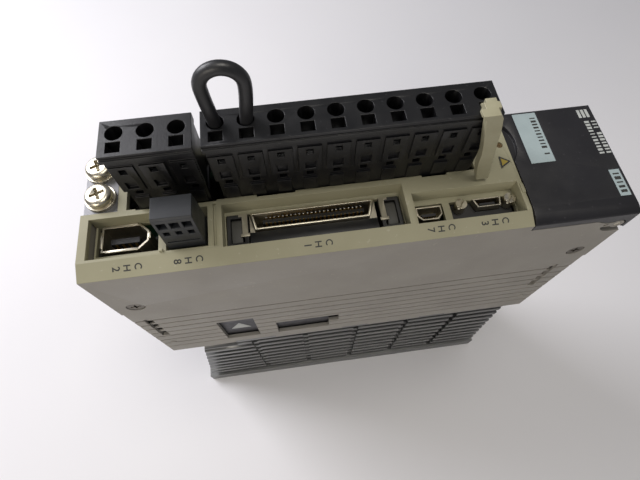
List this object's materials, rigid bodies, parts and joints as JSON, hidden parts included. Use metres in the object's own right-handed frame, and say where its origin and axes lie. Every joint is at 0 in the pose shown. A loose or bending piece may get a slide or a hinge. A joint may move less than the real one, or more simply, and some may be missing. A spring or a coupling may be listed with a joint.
{
  "type": "servo drive",
  "caption": "Slim book-style servo drive with finned heat sink, hinged display cover, pull-off terminal plugs with a wire jumper and opener lever, keys and front signal sockets.",
  "frame": {"origin": "centre of the back flange's rear face, which is the mounting plane and the bottom of the bounding box", "axes": "+Z out of the front face, +X towards the drive's top end, +Y towards its left side; the drive lies on its back"},
  "size_m": [0.16, 0.04, 0.2139],
  "materials": {
    "sink_aluminium": "extruded aluminium, plain",
    "case_plastic": "moulded case plastic, fine texture",
    "bezel_plastic": "moulded front plastic, fine texture",
    "cover_plastic": "moulded near-black plastic, satin",
    "label_film": "printed label film",
    "shield_steel": "dull plated sheet steel",
    "ground_steel": "tin plated steel",
    "screw_steel": "nickel plated steel",
    "panel_plastic": "moulded dark plastic",
    "smoked_lens": "tinted display window",
    "display_segments": "segment display, unlit",
    "led_lens": "light emitting diode lens",
    "lamp_lens": "charge lamp lens",
    "key_plastic": "moulded key caps",
    "terminal_plastic": "glass filled nylon, black",
    "clamp_steel": "spring steel",
    "contact_brass": "gold flashed brass",
    "wire_jacket": "black PVC wire jacket",
    "lever_plastic": "moulded ivory plastic",
    "shell_steel": "drawn connector shell, tin plated",
    "insulator_plastic": "connector insulator, black",
    "board_laminate": "solder masked glass laminate",
    "link_plastic": "board connector and relay plastic",
    "capacitor_sleeve": "shrink sleeve",
    "choke_coating": "powder coated core and winding"
  },
  "bodies": {
    "chassis": {"heat_sink": "sink_aluminium", "main_case": "case_plastic", "left_cover": "case_plastic", "front_bezel": "bezel_plastic", "side_shield": "shield_steel", "ground_plate": "ground_steel", "ground_washers": "ground_steel", "ground_screws": "screw_steel", "case_screws": "screw_steel", "jackscrews": "screw_steel", "hinge_pins": "screw_steel", "board_screws": "screw_steel", "operator_panel": "panel_plastic", "display_window": "smoked_lens", "digit_display": "display_segments", "status_leds": "led_lens", "charge_lamp": "lamp_lens", "main_header": "terminal_plastic", "motor_header": "terminal_plastic", "safety_socket": "terminal_plastic", "main_header_pins": "contact_brass", "motor_header_pins": "contact_brass", "safety_socket_pins": "contact_brass", "io_contacts": "contact_brass", "standoffs": "contact_brass", "encoder_shell": "shell_steel", "io_shell": "shell_steel", "usb_shell": "shell_steel", "port_shell": "shell_steel", "io_latches": "shell_steel", "encoder_insulator": "insulator_plastic", "io_insulator": "insulator_plastic", "usb_insulator": "insulator_plastic", "port_insulator": "insulator_plastic", "key_switches": "insulator_plastic", "board_chips": "insulator_plastic", "power_module": "insulator_plastic", "control_board": "board_laminate", "power_board": "board_laminate", "panel_board": "board_laminate", "board_link": "link_plastic", "inrush_relay": "link_plastic", "bus_capacitors": "capacitor_sleeve", "filter_choke": "choke_coating"},
    "cover": {"display_cover": "cover_plastic", "cover_label": "label_film", "rating_label": "label_film"},
    "mode_key": {"mode_key": "key_plastic"},
    "up_key": {"up_key": "key_plastic"},
    "down_key": {"down_key": "key_plastic"},
    "set_key": {"set_key": "key_plastic"},
    "power_plug": {"main_plug": "terminal_plastic", "main_plug_clamps": "clamp_steel", "jumper_wire": "wire_jacket", "jumper_ferrules": "clamp_steel"},
    "motor_plug": {"motor_plug": "terminal_plastic", "motor_plug_clamps": "clamp_steel"},
    "lever": {"opener_lever": "lever_plastic"},
    "safety_plug": {"safety_plug": "terminal_plastic"}
  },
  "joints": [
    {"name": "cover_hinge", "type": "hinge", "parent": "chassis", "child": "cover", "pos_m": [0.0765, 0, 0.1624], "axis": [0, 1, 0], "range_deg": [0, 100]},
    {"name": "power_plug_slide", "type": "slide", "parent": "chassis", "child": "power_plug", "axis": [0, 0, 1], "range_m": [0, 0.016]},
    {"name": "motor_plug_slide", "type": "slide", "parent": "chassis", "child": "motor_plug", "axis": [0, 0, 1], "range_m": [0, 0.016]},
    {"name": "safety_plug_slide", "type": "slide", "parent": "chassis", "child": "safety_plug", "axis": [0, 0, 1], "range_m": [0, 0.013]},
    {"name": "lever_swing", "type": "hinge", "parent": "power_plug", "child": "lever", "pos_m": [0.0315, 0.00205, 0.1954], "axis": [-1, 0, 0], "range_deg": [0, 60]},
    {"name": "mode_key_press", "type": "slide", "parent": "chassis", "child": "mode_key", "axis": [0, 0, -1], "range_m": [0, 0.0006], "stiffness_N_per_m": 300},
    {"name": "up_key_press", "type": "slide", "parent": "chassis", "child": "up_key", "axis": [0, 0, -1], "range_m": [0, 0.0006], "stiffness_N_per_m": 300},
    {"name": "down_key_press", "type": "slide", "parent": "chassis", "child": "down_key", "axis": [0, 0, -1], "range_m": [0, 0.0006], "stiffness_N_per_m": 300},
    {"name": "set_key_press", "type": "slide", "parent": "chassis", "child": "set_key", "axis": [0, 0, -1], "range_m": [0, 0.0006], "stiffness_N_per_m": 300}
  ]
}
